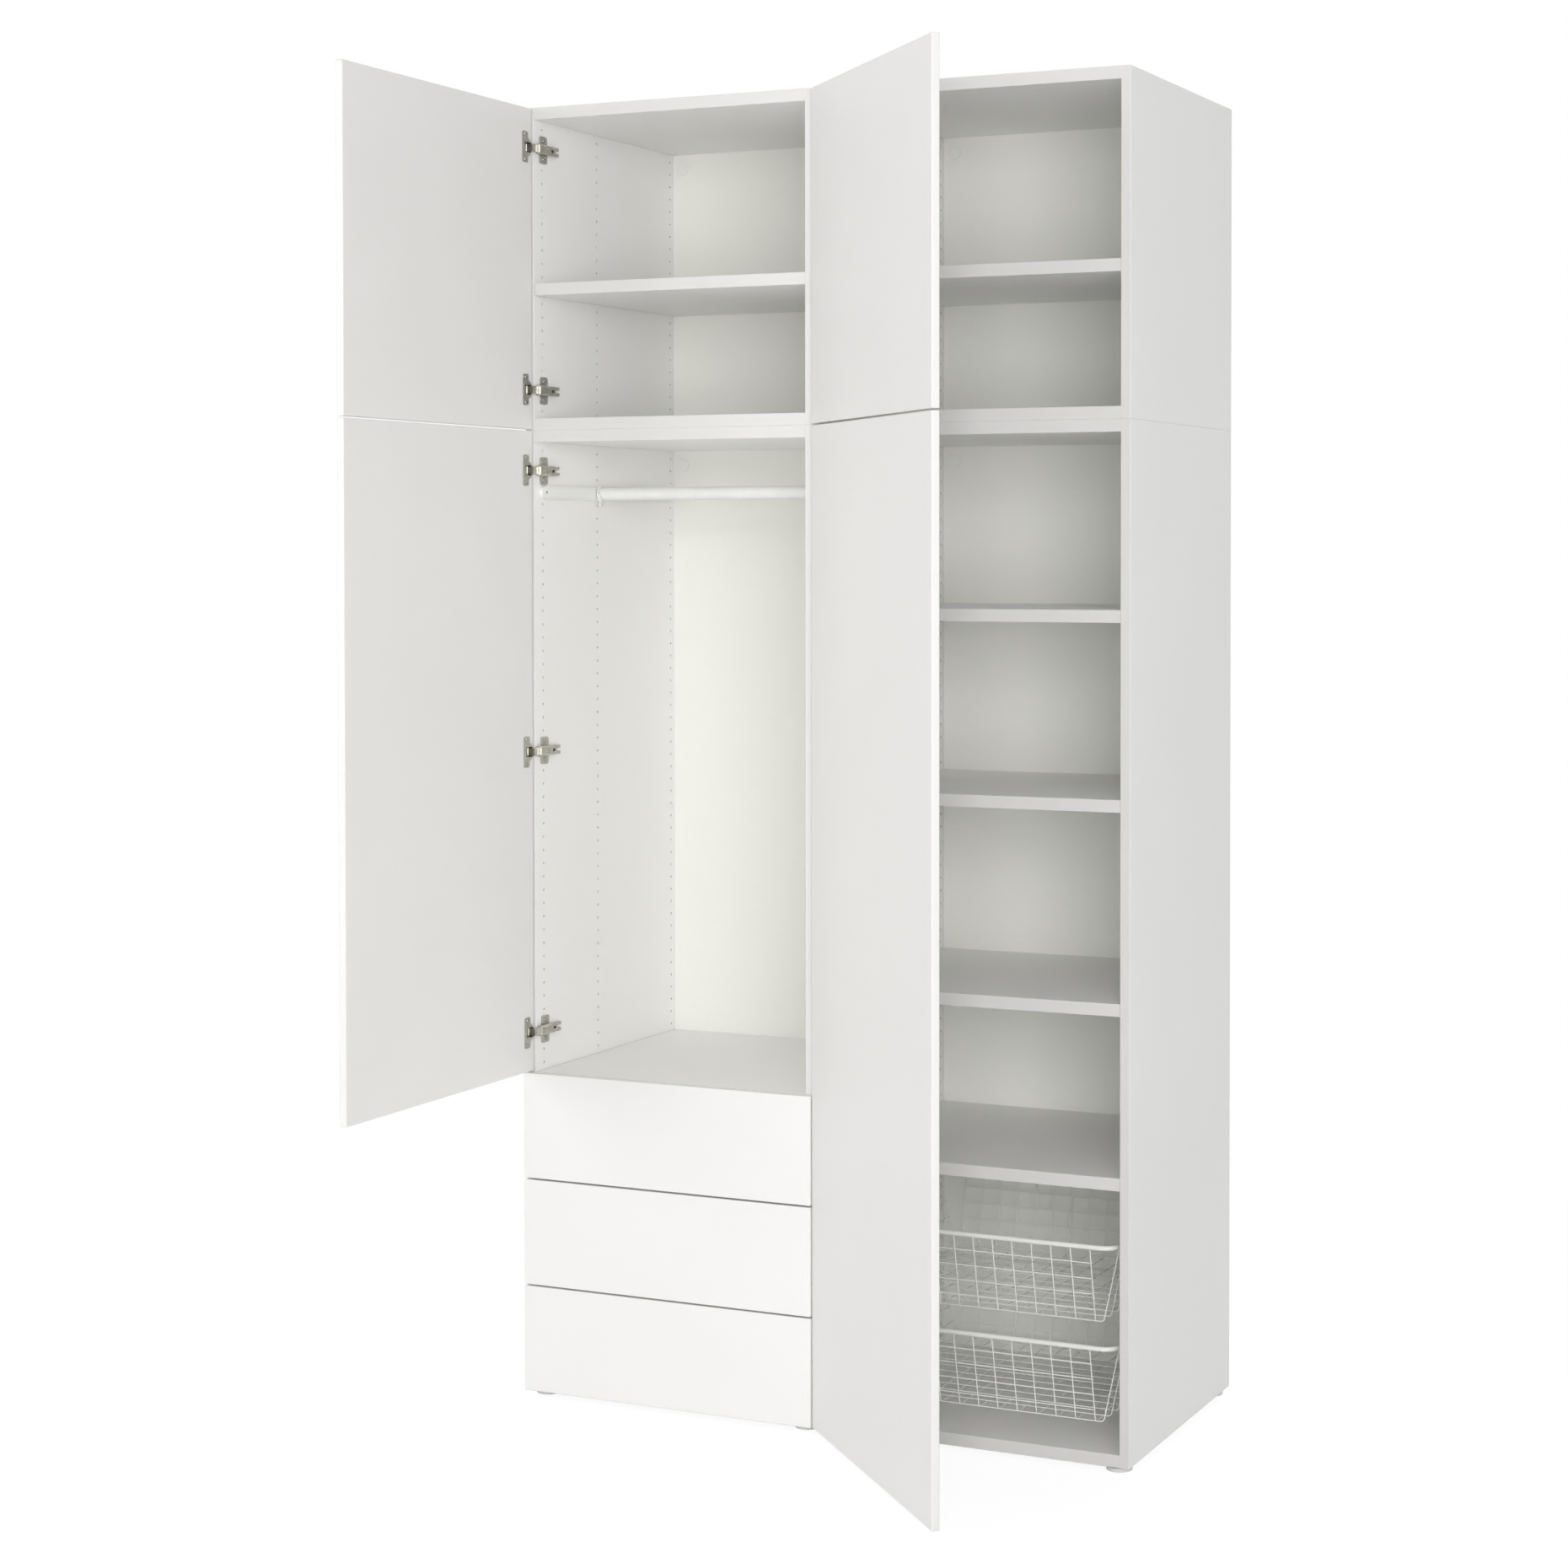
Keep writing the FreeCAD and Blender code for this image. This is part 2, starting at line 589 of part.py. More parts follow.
def hinges():
    """Arms, pins, plates and screws on the sides; cups and their screws on each door."""
    cup, arm, plate = hinge_cup(), hinge_arm(), hinge_plate()
    plate_screw = screw("plate_screw_pattern", "screw_length + ear_thickness")
    cup_screw = screw("cup_screw_pattern", "cup_screw_length + cup_flange")
    pin = doc.addObject("Part::Cylinder", "pin_pattern")
    bind(pin, Radius="hinge_pin_radius", Height="2 * cup_half_height")
    locate(pin, ("0", "0", "-cup_half_height"))
    doc.recompute()
    places = hinge_places()
    group("hinge_arms", [copies(arm, places)])
    group("hinge_pins", [copies(pin, places)])
    group("hinge_plates", [copies(plate, places)])
    side_face = v.side_thickness - v.front_reveal - v.hinge_pin_edge
    ear_y = v.front_gap + v.hinge_pin_depth + v.ear_setback
    ear_seats = [
        Placement(Vector(side_face + v.ear_thickness, ear_y, z), ALONG_X)
        for z in (-v.screw_spread, v.screw_spread)
    ]
    plate_screws = [place.multiply(seat) for place in places for seat in ear_seats]
    group("hinge_plate_screws", [copies(plate_screw, plate_screws)])
    flange_x = v.cup_flange_reach - v.cup_flange_width / 2
    flange_face = v.hinge_pin_depth + v.cup_flange
    flange_seats = [
        Placement(Vector(flange_x, flange_face, z), ALONG_Y)
        for z in (-v.cup_screw_spread, v.cup_screw_spread)
    ]
    for level, column in FRAMES:
        swing = Placement(Vector(), Rotation(Vector(0, 0, 1), -door_angle[column]))
        swung = [place.multiply(swing) for place in hinge_places([column], [level])]
        screws = [place.multiply(seat) for place in swung for seat in flange_seats]
        group(f"{level}_{column}_hinge_cups", [copies(cup, swung), copies(cup_screw, screws)])


def shelf(name, level, column, hole):
    """A board on four pins, each in a slot that is open below."""
    middle = f"pin_hole_first + {hole} * pin_hole_pitch"
    x = f"{COLUMN_X[column]} + side_thickness + shelf_play"
    z = f"{LEVEL_Z[level]} + {middle} - board_thickness / 2"
    body = new_body(name, (x, f"{FRONT_REACH} + shelf_setback", z))
    width = f"({INNER_WIDTH} - 2 * shelf_play)"
    depth = f"{BACK_FACE} - shelf_setback - shelf_play"
    board = block(body, ("0", "0", "0"), (width, depth, "board_thickness"))
    round_edges(body, board, "board_edge_radius")
    slot_size = ("pin_reach + pin_play", "2 * (pin_hole_radius + pin_play)",
                 "board_thickness / 2 + pin_hole_radius + pin_play")
    for x in ("0", f"{width} - pin_reach - pin_play"):
        for y in ("pin_row_front", "carcass_depth - pin_row_rear"):
            block(body, (x, f"{y} - shelf_setback - pin_hole_radius - pin_play", "0"), slot_size, cut=True)
    return keep(body, name)


def shelf_pins():
    """Steel pins under every shelf, half in the side and half in the shelf's slot."""
    pins = []
    radius = v.pin_hole_radius - v.pin_play
    length = v.pin_hole_depth - v.pin_play + v.pin_reach
    for _, level, column, hole in SHELVES:
        z = level_z[level] + v.pin_hole_first + getattr(v, hole) * v.pin_hole_pitch
        left = column_x[column] + v.side_thickness - v.pin_hole_depth + v.pin_play
        right = column_x[column] + v.column_width - v.side_thickness - v.pin_reach
        for y in (v.pin_row_front, v.carcass_depth - v.pin_row_rear):
            for x in (left, right):
                place = Vector(x, front_reach + y, z)
                pins.append(Part.makeCylinder(radius, length, place, Vector(1, 0, 0)))
    return group("shelf_pins", pins)


def corner_dowels():
    """Dowels between every side and end board, with a little air at both ends."""
    dowels = []
    length = v.dowel_in_side + v.dowel_in_board - 2 * v.dowel_play
    for level, column in FRAMES:
        left = column_x[column] + v.side_thickness - v.dowel_in_side + v.dowel_play
        right = column_x[column] + v.column_width - v.side_thickness - v.dowel_in_board + v.dowel_play
        for z in (v.board_thickness / 2, level_height[level] - v.board_thickness / 2):
            for y in (v.dowel_inset, v.carcass_depth / 2, v.carcass_depth - v.dowel_inset):
                for x in (left, right):
                    place = Vector(x, front_reach + y, level_z[level] + z)
                    dowels.append(Part.makeCylinder(v.dowel_radius, length, place, Vector(1, 0, 0)))
    return group("corner_dowels", dowels)


def sleeve_bolt(grip, place, rotation):
    """A sleeve bolt through two boards, with a flat head sunk into each."""
    shank = Part.makeCylinder(v.bolt_radius, grip)
    heads = [
        Part.makeCylinder(v.bolt_head_radius, v.bolt_head, Vector(0, 0, z)) for z in (-v.bolt_head, grip)
    ]
    bolt = shank.multiFuse(heads).removeSplitter()
    bolt.Placement = Placement(place, rotation)
    return bolt


def frame_bolts():
    """Sleeve bolts that join the columns side by side and the upper frames to the lower ones."""
    bolts = []
    for level in LEVEL_Z:
        for z in bolt_z[level]:
            for y in (v.bolt_setback, v.carcass_depth - v.bolt_setback):
                place = Vector(v.bolt_head - v.side_thickness, front_reach + y, level_z[level] + z)
                bolts.append(sleeve_bolt(2 * (v.side_thickness - v.bolt_head), place, ALONG_X))
    seam = level_z["upper"] - v.board_thickness + v.bolt_head
    for column in SIDE_NAMES:
        for x in (v.bolt_side_inset, inner_width - v.bolt_side_inset):
            for y in (v.bolt_setback, v.carcass_depth - v.bolt_setback):
                place = Vector(column_x[column] + v.side_thickness + x, front_reach + y, seam)
                bolts.append(sleeve_bolt(2 * (v.board_thickness - v.bolt_head), place, ALONG_Z))
    return group("frame_bolts", bolts)


def feet():
    """Round feet with a neck and a stem that screws up into the bottom."""
    body = new_body("foot_pattern")
    disc = round_bar(body, ("0", "0", "0"), ALONG_Z, "foot_radius", "foot_disc")
    round_edges(body, disc, "foot_disc / 4", lambda edge: edge.isClosed())
    round_bar(body, ("0", "0", "0"), ALONG_Z, "foot_neck_radius", "foot_height")
    round_bar(body, ("0", "0", "0"), ALONG_Z, "foot_stem_radius", "foot_height + foot_stem")
    doc.recompute()
    places = []
    for column in SIDE_NAMES:
        for x in (v.foot_inset, v.column_width - v.foot_inset):
            for y in (v.foot_inset, v.carcass_depth - v.foot_inset):
                places.append(Placement(Vector(column_x[column] + x, front_reach + y, 0), ALONG_Z))
    return group("feet", [copies(body, places)])


def wall_caps():
    """Cover caps in the wall-fixing holes of the backs."""
    body = new_body("cap_pattern")
    disc = round_bar(body, ("0", "-cap_thickness", "0"), ALONG_Y, "cap_radius", "cap_thickness")
    rim_y = -v.cap_thickness
    round_edges(body, disc, "cap_thickness / 2", lambda edge: abs(edge.BoundBox.YMax - rim_y) < SAME)
    round_bar(body, ("0", "-cap_thickness / 2", "0"), ALONG_Y, "cap_stem_radius",
              "back_thickness + cap_thickness / 2")
    doc.recompute()
    places = []
    for level, column in FRAMES:
        z = level_z[level] + level_height[level] - v.cap_drop
        inset = v.side_thickness + v.cap_side_inset
        for x in (inset, v.column_width - inset):
            places.append(Placement(Vector(column_x[column] + x, front_reach + back_face, z), ALONG_Z))
    return group("wall_fixing_caps", [copies(body, places)])


def drawer_front(name, index):
    """A drawer's front, the same board as the doors."""
    body = new_body(name, ("front_reveal - column_width", "0",
                           f"foot_height + {index} * drawer_pitch + front_reveal"))
    size = ("column_width - 2 * front_reveal", "front_thickness", "drawer_pitch - 2 * front_reveal")
    round_edges(body, block(body, ("0", "0", "0"), size), "front_edge_radius")
    return keep(body, name)


def drawer_pieces():
    """A drawer's side, back and bottom, from the box's lower front left corner."""
    groove_z = "drawer_bottom_rise - groove_play"
    groove_height = "drawer_bottom_thickness + 2 * groove_play"
    sides = []
    for hand in SIDE_NAMES:
        side = new_body(f"drawer_{hand}_side_pattern")
        x = "0" if hand == "left" else f"{DRAWER_WIDTH} - drawer_side_thickness"
        groove_x = f"{x} + drawer_side_thickness - drawer_groove_depth" if hand == "left" else x
        block(side, (x, "0", "0"), ("drawer_side_thickness", "drawer_depth", "drawer_side_height"))
        groove_size = ("drawer_groove_depth", "drawer_depth", groove_height)
        block(side, (groove_x, "0", groove_z), groove_size, cut=True)
        sides.append(side)
    inside = f"({DRAWER_WIDTH} - 2 * drawer_side_thickness)"
    back = doc.addObject("Part::Box", "drawer_back_pattern")
    back_z = "(drawer_bottom_rise + drawer_bottom_thickness + groove_play)"
    bind(back, Length=inside, Width="drawer_side_thickness", Height=f"drawer_side_height - {back_z}")
    locate(back, ("drawer_side_thickness", "drawer_depth - drawer_side_thickness", back_z))
    bottom = doc.addObject("Part::Box", "drawer_bottom_pattern")
    reach = "(drawer_groove_depth - groove_play)"
    bind(bottom, Length=f"{inside} + 2 * {reach}", Width="drawer_depth", Height="drawer_bottom_thickness")
    locate(bottom, (f"drawer_side_thickness - {reach}", "0", "drawer_bottom_rise"))
    return [*sides, back, bottom]


def channel(name, sheet_metal, height, width, length, opens):
    """A C-section along Y whose open side faces the named hand; its back is at x = 0."""
    body = new_body(name)
    block(body, ("0", "0", "0"), (width, length, height))
    hollow_x = sheet_metal if opens == "right" else "0"
    hollow_size = (f"{width} - {sheet_metal}", length, f"{height} - 2 * {sheet_metal}")
    block(body, (hollow_x, "0", sheet_metal), hollow_size, cut=True)
    return body


def mirrored(shape, x):
    """A shape's mirror image in the plane across X at x."""
    return shape.mirror(Vector(x, 0, 0), Vector(1, 0, 0))


def drawers():
    """Three drawers: fronts, boxes and sliding runner members, and the fixed runners on the sides."""
    pieces = drawer_pieces()
    fixed = channel("fixed_runner_pattern", "runner_sheet", "runner_height", "runner_width",
                    "runner_length", "right")
    slide_height = "(runner_height - 2 * runner_sheet - 2 * runner_play)"
    slide_width = "(drawer_side_gap - runner_sheet - runner_play)"
    slide = channel("slide_runner_pattern", "runner_sheet", slide_height, slide_width,
                    "drawer_depth", "right")
    doc.recompute()
    mid_x = -v.column_width / 2
    face_x = v.side_thickness - v.column_width
    box_x = face_x + v.drawer_side_gap
    runners = []
    for index, name in enumerate(DRAWER_NAMES):
        drawer_front(f"{name}_drawer_front", index)
        box_z = v.foot_height + index * v.drawer_pitch + v.drawer_side_rise
        place = Placement(Vector(box_x, v.front_thickness, box_z), ALONG_Z)
        group(f"{name}_drawer_box", [copies(piece, [place]) for piece in pieces])
        runner_z = box_z + v.runner_rise
        rail_place = Placement(Vector(face_x, front_reach + v.runner_setback, runner_z), ALONG_Z)
        rail = copies(fixed, [rail_place])
        runners += [rail, mirrored(rail, mid_x)]
        slide_x = face_x + v.runner_sheet + v.runner_play
        slide_z = runner_z + v.runner_sheet + v.runner_play
        slide_place = Placement(Vector(slide_x, v.front_thickness, slide_z), ALONG_Z)
        member = copies(slide, [slide_place])
        group(f"{name}_drawer_slides", [member, mirrored(member, mid_x)])
    return group("drawer_runners", runners)


def rounded_rectangle(x0, y0, x1, y1, radius, z):
    """A closed wire of four straight runs and four quarter arcs."""
    bend = radius * (1 - 0.5 ** 0.5)
    edges = []
    corners = [(x1, y0, -1, 1), (x1, y1, -1, -1), (x0, y1, 1, -1), (x0, y0, 1, 1)]
    stops = []
    for i, (x, y, dx, dy) in enumerate(corners):
        along = Vector(x + dx * radius, y, z)
        across = Vector(x, y + dy * radius, z)
        middle = Vector(x + dx * bend, y + dy * bend, z)
        first, last = (along, across) if i % 2 == 0 else (across, along)
        edges.append(Part.Arc(first, middle, last).toShape())
        stops.append((first, last))
    for i, (_, last) in enumerate(stops):
        edges.append(Part.LineSegment(last, stops[(i + 1) % len(stops)][0]).toShape())
    return Part.Wire(Part.__sortEdges__(edges))


def grille(across, along, origin, u, w, depth):
    """A flat net of square wires: bars at the places in across run along w, bars in along run along u."""
    half = v.wire / 2

    def ring(u0, w0, u1, w1):
        corners = [origin + u * a + w * b for a, b in ((u0, w0), (u1, w0), (u1, w1), (u0, w1), (u0, w0))]
        return Part.makePolygon(corners)

    wires = [ring(across[0] - half, along[0] - half, across[-1] + half, along[-1] + half)]
    for a0, a1 in zip(across, across[1:]):
        for b0, b1 in zip(along, along[1:]):
            wires.append(ring(a0 + half, b0 + half, a1 - half, b1 - half))
    return Part.makeFace(wires, "Part::FaceMakerBullseye").extrude(depth)


def spread(count, pitch):
    """Equal steps about zero."""
    return [(i - (count - 1) / 2) * pitch for i in range(int(count))]


def basket_shapes():
    """One basket about its rim's middle: rim from z = 0 down, four leaning walls and a floor of wires."""
    half_width, half_depth = v.basket_width / 2, v.basket_depth / 2
    r = v.rim_radius
    path = rounded_rectangle(r - half_width, r - half_depth, half_width - r, half_depth - r,
                             v.basket_corner_radius - r, -r)
    section = Part.Wire(Part.makeCircle(r, Vector(0, r - half_depth, -r), Vector(1, 0, 0)))
    rim = path.makePipeShell([section], True, False)

    # The walls lean in from the rim's axis, from its underside to just above the floor's outer bars.
    fall = v.basket_height - r - v.wire - v.wire_play
    lean = Vector(0, v.basket_taper, -fall)
    down = lean / lean.Length
    outward = down.cross(Vector(1, 0, 0)) * v.wire
    start = down * (r + v.wire_play) - outward / 2
    run = lean.Length - r - v.wire_play - v.wire / 2 * v.basket_taper / fall
    floor_x = half_width - r - v.basket_taper + v.wire / 2
    floor_y = half_depth - r - v.basket_taper + v.wire / 2
    across_front = spread(v.basket_front_wires, v.basket_wire_pitch)
    across_side = spread(v.basket_side_wires, 2 * floor_y / (v.basket_side_wires - 1))
    rows = [v.wire / 2]
    rows += [v.basket_row_first + i * v.basket_row_pitch for i in range(int(v.basket_rows))]
    rows.append(run - v.wire / 2)
    solids = [rim]
    for turn, across, reach in ((0, across_front, half_depth), (90, across_side, half_width),
                                (180, across_front, half_depth), (270, across_side, half_width)):
        top = Vector(0, r - reach, -r) + start
        wall = grille(across, rows, top, Vector(1, 0, 0), down, outward)
        wall.rotate(Vector(), Vector(0, 0, 1), turn)
        solids.append(wall)
    across_floor = [-floor_x, *across_front, floor_x]
    origin = Vector(0, 0, -v.basket_height)
    upward = Vector(0, 0, v.wire)
    solids.append(grille(across_floor, across_side, origin, Vector(1, 0, 0), Vector(0, 1, 0), upward))
    return solids


def baskets():
    """Two wire baskets whose rims slide in tracks on the right column's sides."""
    shapes = basket_shapes()
    track_height = "(2 * rim_radius + 2 * track_play + 2 * track_sheet)"
    track_width = f"(({INNER_WIDTH} - basket_width) / 2 + track_grip)"
    track = channel("track_pattern", "track_sheet", track_height, track_width, "track_length", "right")
    doc.recompute()
    mid_x = v.column_width / 2
    tracks = []
    for index, name in enumerate(BASKET_NAMES):
        rim_z = v.foot_height + v.lower_basket_rim + index * v.basket_spacing
        place = Vector(mid_x, front_reach + v.basket_setback + v.basket_depth / 2, rim_z)
        group(f"{name}_basket", [shape.translated(place) for shape in shapes])
        track_z = rim_z - 2 * v.rim_radius - v.track_play - v.track_sheet
        track_place = Placement(Vector(v.side_thickness, front_reach + v.track_setback, track_z), ALONG_Z)
        rail = copies(track, [track_place])
        tracks += [rail, mirrored(rail, mid_x)]
    return group("basket_tracks", tracks)


def clothes_rail():
    """A tube across the hanging space, two strips on the sides and a hook on each strip for the tube."""
    span = f"({INNER_WIDTH} - 2 * (strip_thickness + hook_sheet + rail_play))"
    rail_z = "foot_height + lower_height - rail_drop"
    tube_x = "side_thickness + strip_thickness + hook_sheet + rail_play - column_width"
    tube = new_body("clothes_rail", (tube_x, f"{FRONT_REACH} + rail_setback", rail_z))
    round_bar(tube, ("0", "0", "0"), ALONG_X, "rail_radius", span)
    round_bar(tube, ("0", "0", "0"), ALONG_X, "rail_radius - rail_wall", span, cut=True)
    keep(tube, "clothes_rail")

    # The strip is a bar with round ends and a shallow channel between them.
    strip = new_body("strip_pattern")
    straight_size = ("strip_thickness", "strip_length - strip_height", "strip_height")
    block(strip, ("0", "strip_height / 2", "-strip_height / 2"), straight_size)
    for y in ("strip_height / 2", "strip_length - strip_height / 2"):
        round_bar(strip, ("0", y, "0"), ALONG_X, "strip_height / 2", "strip_thickness")
    channel_size = ("strip_recess", "strip_length - 2 * strip_height", "strip_height - 2 * strip_lip")
    channel_place = ("strip_thickness - strip_recess", "strip_height", "strip_lip - strip_height / 2")
    block(strip, channel_place, channel_size, cut=True)

    # The hook is an end plate with a tab below for a screw, and a cradle that is open above.
    hook = new_body("hook_pattern")
    outer = "(rail_radius + rail_play + hook_sheet)"
    hollow = "(rail_radius + rail_play)"
    cradle = "(hook_width - hook_sheet)"
    round_bar(hook, ("hook_sheet", "0", "0"), ALONG_X, outer, cradle)
    block(hook, ("hook_sheet", f"-{outer}", "0"), (cradle, f"2 * {outer}", "hook_lip"))
    round_bar(hook, ("hook_sheet", "0", "0"), ALONG_X, hollow, cradle, cut=True)
    block(hook, ("hook_sheet", f"-{outer}", "0"), (cradle, f"{outer} + {hollow}", outer), cut=True)
    round_bar(hook, ("0", "0", "0"), ALONG_X, outer, "hook_sheet")
    block(hook, ("0", "-hook_tab_width / 2", "-hook_tab"), ("hook_sheet", "hook_tab_width", "hook_tab"))
    round_bar(hook, ("0", "0", "-hook_tab"), ALONG_X, "hook_tab_width / 2", "hook_sheet")
    round_bar(hook, ("0", "0", "-hook_tab"), ALONG_X, "hook_hole_radius", "hook_sheet", cut=True)
    doc.recompute()

    mid_x = -v.column_width / 2
    face_x = v.side_thickness - v.column_width
    z = level_z["lower"] + v.lower_height - v.rail_drop
    left_strip = copies(strip, [Placement(Vector(face_x, front_reach + v.strip_setback, z), ALONG_Z)])
    group("rail_strips", [left_strip, mirrored(left_strip, mid_x)])
    hook_place = Vector(face_x + v.strip_thickness, front_reach + v.rail_setback, z)
    left_hook = copies(hook, [Placement(hook_place, ALONG_Z)])
    group("rail_hooks", [left_hook, mirrored(left_hook, mid_x)])


def write_parts():
    """Stops on any failed object or bad shape, then writes every sub-part."""
    doc.recompute()
    failed = [obj.Name for obj in doc.Objects if {"Invalid", "Error"} & set(obj.State)]
    bad = [
        obj.Label for obj in nodes
        if obj.Shape.isNull() or not obj.Shape.isValid() or not obj.Shape.Solids
    ]
    if failed or bad:
        raise RuntimeError(f"failed objects {failed}, bad shapes {bad}")
    os.makedirs("parts", exist_ok=True)
    for obj in nodes:
        obj.Shape.exportStep(f"parts/{obj.Label}.step")
    print(len(nodes), "sub-parts,", sum(len(obj.Shape.Solids) for obj in nodes), "solids")


for level, column in FRAMES:
    for hand in SIDE_NAMES:
        side_panel(level, column, hand)
    for end in ("bottom", "top"):
        end_board(level, column, end)
    back_panel(level, column)
    door(level, column)
hinges()
for name, level, column, hole in SHELVES:
    shelf(name, level, column, hole)
shelf_pins()
corner_dowels()
frame_bolts()
feet()
wall_caps()
drawers()
baskets()
clothes_rail()
write_parts()
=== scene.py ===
"""Looks of the four-door wardrobe: materials, wire baskets, screw details, studio and camera.

Metres, in the CAD model's frame: +Z up, the fronts look along -Y, the origin on the floor.
"""
import json
import math

import bpy
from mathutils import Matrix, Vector


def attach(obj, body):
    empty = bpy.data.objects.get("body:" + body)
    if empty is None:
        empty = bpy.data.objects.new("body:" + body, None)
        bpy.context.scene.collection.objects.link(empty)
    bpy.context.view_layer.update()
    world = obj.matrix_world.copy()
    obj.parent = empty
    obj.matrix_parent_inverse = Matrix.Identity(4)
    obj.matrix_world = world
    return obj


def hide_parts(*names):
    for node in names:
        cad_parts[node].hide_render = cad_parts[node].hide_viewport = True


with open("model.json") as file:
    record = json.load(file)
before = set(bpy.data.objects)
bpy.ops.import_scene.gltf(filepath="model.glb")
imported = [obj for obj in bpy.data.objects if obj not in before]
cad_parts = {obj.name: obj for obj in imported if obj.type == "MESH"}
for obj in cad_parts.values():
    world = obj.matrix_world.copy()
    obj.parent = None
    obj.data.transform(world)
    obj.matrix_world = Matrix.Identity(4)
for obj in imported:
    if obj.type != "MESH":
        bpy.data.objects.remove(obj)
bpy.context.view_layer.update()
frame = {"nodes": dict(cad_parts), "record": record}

# Most values of a noise texture lie between these two.
NOISE_LOW, NOISE_HIGH = 0.3, 0.7
# Rays for each point where a shader looks for edges and creases.
EDGE_SAMPLES = 6
# Sockets of a Mix node that mixes colours.
MIX_FACTOR, MIX_FIRST, MIX_SECOND, MIX_RESULT = 0, 6, 7, 2


class Nodes:
    """A material's node tree with short ways to add and join nodes."""

    def __init__(self, name):
        self.material = bpy.data.materials.new(name)
        self.material.use_nodes = True
        self.tree = self.material.node_tree
        self.shader = next(n for n in self.tree.nodes if n.type == "BSDF_PRINCIPLED")
        self.coords = self.add("ShaderNodeTexCoord").outputs["Object"]

    def add(self, kind, **inputs):
        node = self.tree.nodes.new(kind)
        for name, value in inputs.items():
            self.put(node, name.replace("_", " "), value)
        return node

    def put(self, node, name, value):
        socket = node.inputs[name]
        if isinstance(value, bpy.types.NodeSocket):
            self.tree.links.new(value, socket)
        else:
            socket.default_value = value

    def set(self, **inputs):
        for name, value in inputs.items():
            self.put(self.shader, name.replace("_", " "), value)

    def stretched(self, scale):
        """Object coordinates scaled axis by axis."""
        node = self.add("ShaderNodeMapping", Vector=self.coords, Scale=scale)
        return node.outputs["Vector"]

    def noise(self, scale, detail=2.0, vector=None, roughness=0.5):
        node = self.add("ShaderNodeTexNoise", Vector=vector or self.coords, Scale=scale, Detail=detail,
                        Roughness=roughness)
        return node.outputs["Fac"]

    def span(self, value, low, high, start, end):
        """A value mapped from start..end to low..high."""
        node = self.add("ShaderNodeMapRange", Value=value, From_Min=start, From_Max=end, To_Min=low,
                        To_Max=high)
        return node.outputs["Result"]

    def even(self, noise, low=0.0, high=1.0):
        """A noise's usual values mapped to low..high."""
        return self.span(noise, low, high, NOISE_LOW, NOISE_HIGH)

    def mix(self, factor, first, second):
        """A colour between two, each a plain colour or a socket, by a factor."""
        node = self.tree.nodes.new("ShaderNodeMix")
        node.data_type = "RGBA"
        self.put(node, MIX_FACTOR, factor)
        for index, colour in ((MIX_FIRST, first), (MIX_SECOND, second)):
            self.put(node, index, (*colour, 1.0) if isinstance(colour, tuple) else colour)
        return node.outputs[MIX_RESULT]

    def bump(self, height, distance, strength=0.5, normal=None):
        node = self.add("ShaderNodeBump", Height=height, Distance=distance, Strength=strength)
        if normal is not None:
            self.put(node, "Normal", normal)
        return node.outputs["Normal"]

    def open_to(self, distance, shut=0.25, clear=0.75):
        """A factor that falls from one to zero where faces stand close together, which marks where shade is
        painted.
        """
        node = self.add("ShaderNodeAmbientOcclusion", Distance=distance)
        node.samples = EDGE_SAMPLES
        return self.span(node.outputs["AO"], 0.0, 1.0, shut, clear)

    def soft_edges(self, radius):
        """Normals that round every sharp edge a little."""
        node = self.add("ShaderNodeBevel", Radius=radius)
        node.samples = EDGE_SAMPLES
        return node.outputs["Normal"]


# Painted shade in the seams where boards meet: its colours, how far it looks, and the levels where it is
# full and none.
SEAM_SHADE_DARK, SEAM_SHADE_LIGHT = (0.30, 0.30, 0.285), (0.36, 0.36, 0.345)
SEAM_REACH, SEAM_SHUT, SEAM_CLEAR = 0.003, 0.12, 0.46
# The painted shade of the front edges is full where a face's normal's Y is under the first value, and none
# over the second.
FRONT_FULL, FRONT_NONE = -0.9, -0.6
FOIL_EDGE = 0.0008
# Flecks of gloss are coarser than the grain; the roughness strays this far to either side.
FLECK_SHARE, ROUGHNESS_STRAY = 0.35, 0.05


def foil(name, dark, light, roughness, grain, grain_depth, edge_shade_colours=None):
    """White foil on board: faint clouding, a fine embossed grain and eased edges.

    A board given colours for its front edges has painted shade there and in the seams where boards meet.
    """
    m = Nodes(name)
    cloud = m.even(m.noise(3.5, 4.0))
    fleck = m.noise(grain * FLECK_SHARE, 2.0)
    colour = m.mix(cloud, dark, light)
    if edge_shade_colours is not None:
        # Painted shade on faces that look to the front: the boards' front edges.
        facing = m.add("ShaderNodeSeparateXYZ", Vector=m.add("ShaderNodeTexCoord").outputs["Normal"])
        front_edge = m.span(facing.outputs["Y"], 1.0, 0.0, FRONT_FULL, FRONT_NONE)
        colour = m.mix(front_edge, colour, m.mix(cloud, *edge_shade_colours))
        # Painted shade in the seams where boards meet.
        seam_shade = m.mix(cloud, SEAM_SHADE_DARK, SEAM_SHADE_LIGHT)
        colour = m.mix(m.open_to(SEAM_REACH, SEAM_SHUT, SEAM_CLEAR), seam_shade, colour)
    m.set(Base_Color=colour, Specular_IOR_Level=0.35)
    m.set(Roughness=m.even(fleck, roughness - ROUGHNESS_STRAY, roughness + ROUGHNESS_STRAY))
    m.set(Normal=m.bump(m.noise(grain, 3.0), grain_depth, 0.6, m.soft_edges(FOIL_EDGE)))
    return m.material


